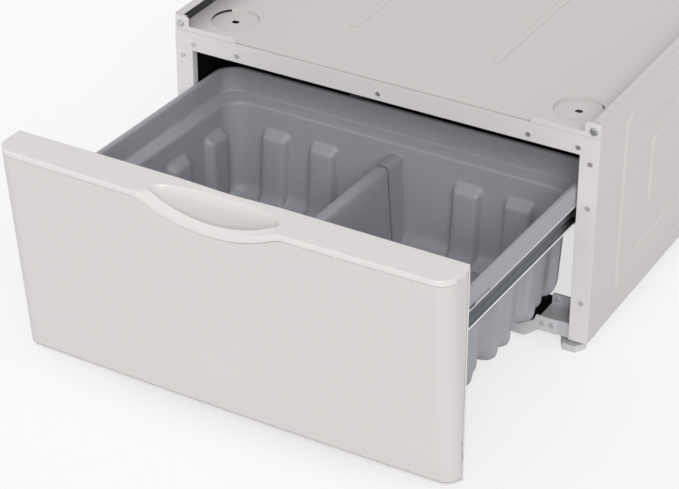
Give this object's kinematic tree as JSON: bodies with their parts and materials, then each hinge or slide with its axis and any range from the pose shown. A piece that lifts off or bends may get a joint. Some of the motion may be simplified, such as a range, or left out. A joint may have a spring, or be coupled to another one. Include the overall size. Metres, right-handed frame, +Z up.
{
  "type": "laundry pedestal drawer",
  "caption": "Low sheet-steel stand for a laundry machine, with one wide drawer drawn open on roller runners, a moulded bin with a divider, a finger-pull front and levelling feet.",
  "frame": {"origin": "centre of the bounding box, on the floor, with the drawer open as pictured", "axes": "+X to the right as seen from the front, -Y is the front of the drawer, +Z up"},
  "size_m": [0.691, 1.1113, 0.381],
  "materials": {
    "cabinet_sheet": "baked white paint on bent sheet steel",
    "white_paint": "smooth baked white paint, satin gloss",
    "white_plastic": "moulded plastic, colour matched to the paint",
    "zinc_steel": "zinc plated rolled steel",
    "screw_steel": "zinc plated screws and nuts",
    "bracket_steel": "zinc plated pressed steel, duller than the rail",
    "black_steel": "black painted steel",
    "grey_plastic": "moulded grey plastic with a fine texture",
    "foot_plastic": "light grey moulded levelling foot",
    "black_nylon": "black nylon roller",
    "black_rubber": "soft rubber bumper"
  },
  "bodies": {
    "cabinet": {"left_side_panel": "cabinet_sheet", "right_side_panel": "cabinet_sheet", "back_panel": "cabinet_sheet", "top_deck": "cabinet_sheet", "face_frame": "white_paint", "front_cross_rail": "zinc_steel", "front_base_brace": "black_steel", "rear_cross_rail": "zinc_steel", "front_left_corner_bracket": "bracket_steel", "front_right_corner_bracket": "bracket_steel", "rear_left_corner_bracket": "bracket_steel", "rear_right_corner_bracket": "bracket_steel", "left_runner_support": "zinc_steel", "right_runner_support": "zinc_steel", "left_cabinet_runner": "zinc_steel", "right_cabinet_runner": "zinc_steel", "left_tie_bracket": "white_paint", "right_tie_bracket": "white_paint", "tie_bolts": "screw_steel", "face_frame_screws": "screw_steel", "corner_bracket_screws": "screw_steel", "deck_screws": "screw_steel", "back_panel_screws": "screw_steel", "runner_screws": "screw_steel", "foot_lock_nuts": "screw_steel"},
    "drawer": {"drawer_front_skin": "white_paint", "handle_cap": "white_plastic", "bottom_cap": "white_plastic", "drawer_inner_panel": "white_paint", "drawer_bin": "grey_plastic", "left_drawer_runner": "zinc_steel", "right_drawer_runner": "zinc_steel", "drawer_bumpers": "black_rubber", "drawer_screws": "screw_steel"},
    "left_front_roller": {"left_front_roller": "black_nylon"},
    "right_front_roller": {"right_front_roller": "black_nylon"},
    "left_rear_roller": {"left_rear_roller": "black_nylon"},
    "right_rear_roller": {"right_rear_roller": "black_nylon"},
    "front_left_foot": {"front_left_foot": "foot_plastic"},
    "front_right_foot": {"front_right_foot": "foot_plastic"},
    "rear_left_foot": {"rear_left_foot": "foot_plastic"},
    "rear_right_foot": {"rear_right_foot": "foot_plastic"}
  },
  "joints": [
    {"name": "drawer_slide", "type": "slide", "parent": "cabinet", "child": "drawer", "axis": [0, -0.9996, 0.0297], "range_m": [-0.38, 0]},
    {"name": "left_front_roller_spin", "type": "hinge", "parent": "cabinet", "child": "left_front_roller", "pos_m": [-0.3079, -0.09574, 0.2295], "axis": [1, 0, 0], "range_deg": [-1645, 1645]},
    {"name": "right_front_roller_spin", "type": "hinge", "parent": "cabinet", "child": "right_front_roller", "pos_m": [0.3079, -0.09574, 0.2295], "axis": [1, 0, 0], "range_deg": [-1645, 1645]},
    {"name": "left_rear_roller_spin", "type": "hinge", "parent": "drawer", "child": "left_rear_roller", "pos_m": [-0.3099, -0.00638, 0.22684], "axis": [1, 0, 0], "range_deg": [-2220.8, 2220.8]},
    {"name": "right_rear_roller_spin", "type": "hinge", "parent": "drawer", "child": "right_rear_roller", "pos_m": [0.3099, -0.00638, 0.22684], "axis": [1, 0, 0], "range_deg": [-2220.8, 2220.8]},
    {"name": "front_left_foot_height", "type": "slide", "parent": "cabinet", "child": "front_left_foot", "axis": [0, 0, 1], "range_m": [-0.01, 0.005]},
    {"name": "front_right_foot_height", "type": "slide", "parent": "cabinet", "child": "front_right_foot", "axis": [0, 0, 1], "range_m": [-0.01, 0.005]},
    {"name": "rear_left_foot_height", "type": "slide", "parent": "cabinet", "child": "rear_left_foot", "axis": [0, 0, 1], "range_m": [-0.01, 0.005]},
    {"name": "rear_right_foot_height", "type": "slide", "parent": "cabinet", "child": "rear_right_foot", "axis": [0, 0, 1], "range_m": [-0.01, 0.005]}
  ],
  "couplings": [
    {"joint": "left_front_roller_spin", "follows": "drawer_slide", "rad_per_m": 74.074},
    {"joint": "right_front_roller_spin", "follows": "drawer_slide", "rad_per_m": 74.074},
    {"joint": "left_rear_roller_spin", "follows": "drawer_slide", "rad_per_m": -100},
    {"joint": "right_rear_roller_spin", "follows": "drawer_slide", "rad_per_m": -100}
  ]
}
